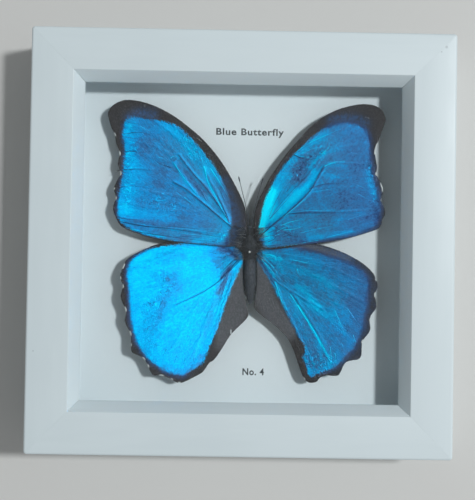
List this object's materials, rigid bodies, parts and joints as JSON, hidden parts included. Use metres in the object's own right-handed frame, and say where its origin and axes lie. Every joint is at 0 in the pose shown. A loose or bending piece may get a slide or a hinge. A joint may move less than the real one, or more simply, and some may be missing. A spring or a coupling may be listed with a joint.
{
  "type": "framed butterfly specimen",
  "caption": "White square glazed box frame holding a blue butterfly with spread wings, pinned above a white backing card.",
  "frame": {"origin": "bottom centre of the frame's box, on the rear plane of the rails", "axes": "+Z out of the glass, +Y towards the top of the picture, +X to the right seen from the front"},
  "size_m": [0.2, 0.2, 0.04],
  "materials": {
    "white_paint": "satin white paint on wood",
    "clear_glass": "clear, polished",
    "white_spacer": "matte white",
    "white_card": "matte white card",
    "brown_board": "smooth brown fibreboard",
    "grey_steel": "plain zinc-plated steel",
    "pin_steel": "polished steel pin",
    "blue_wing": "iridescent blue wing scales with dark brown margins",
    "dark_body": "dark hairy insect body"
  },
  "bodies": {
    "root": {"antenna_left": "dark_body", "antenna_right": "dark_body", "back_board": "brown_board", "backing_card": "white_card", "body": "dark_body", "forewing_left": "blue_wing", "forewing_right": "blue_wing", "framers_point_1": "grey_steel", "framers_point_2": "grey_steel", "framers_point_3": "grey_steel", "framers_point_4": "grey_steel", "framers_point_5": "grey_steel", "framers_point_6": "grey_steel", "framers_point_7": "grey_steel", "framers_point_8": "grey_steel", "glass_pane": "clear_glass", "hanger_nail_left": "grey_steel", "hanger_nail_right": "grey_steel", "hindwing_left": "blue_wing", "hindwing_right": "blue_wing", "insect_pin": "pin_steel", "rail_bottom": "white_paint", "rail_left": "white_paint", "rail_right": "white_paint", "rail_top": "white_paint", "sawtooth_hanger": "grey_steel", "spacer_bottom": "white_spacer", "spacer_left": "white_spacer", "spacer_right": "white_spacer", "spacer_top": "white_spacer"}
  },
  "joints": []
}
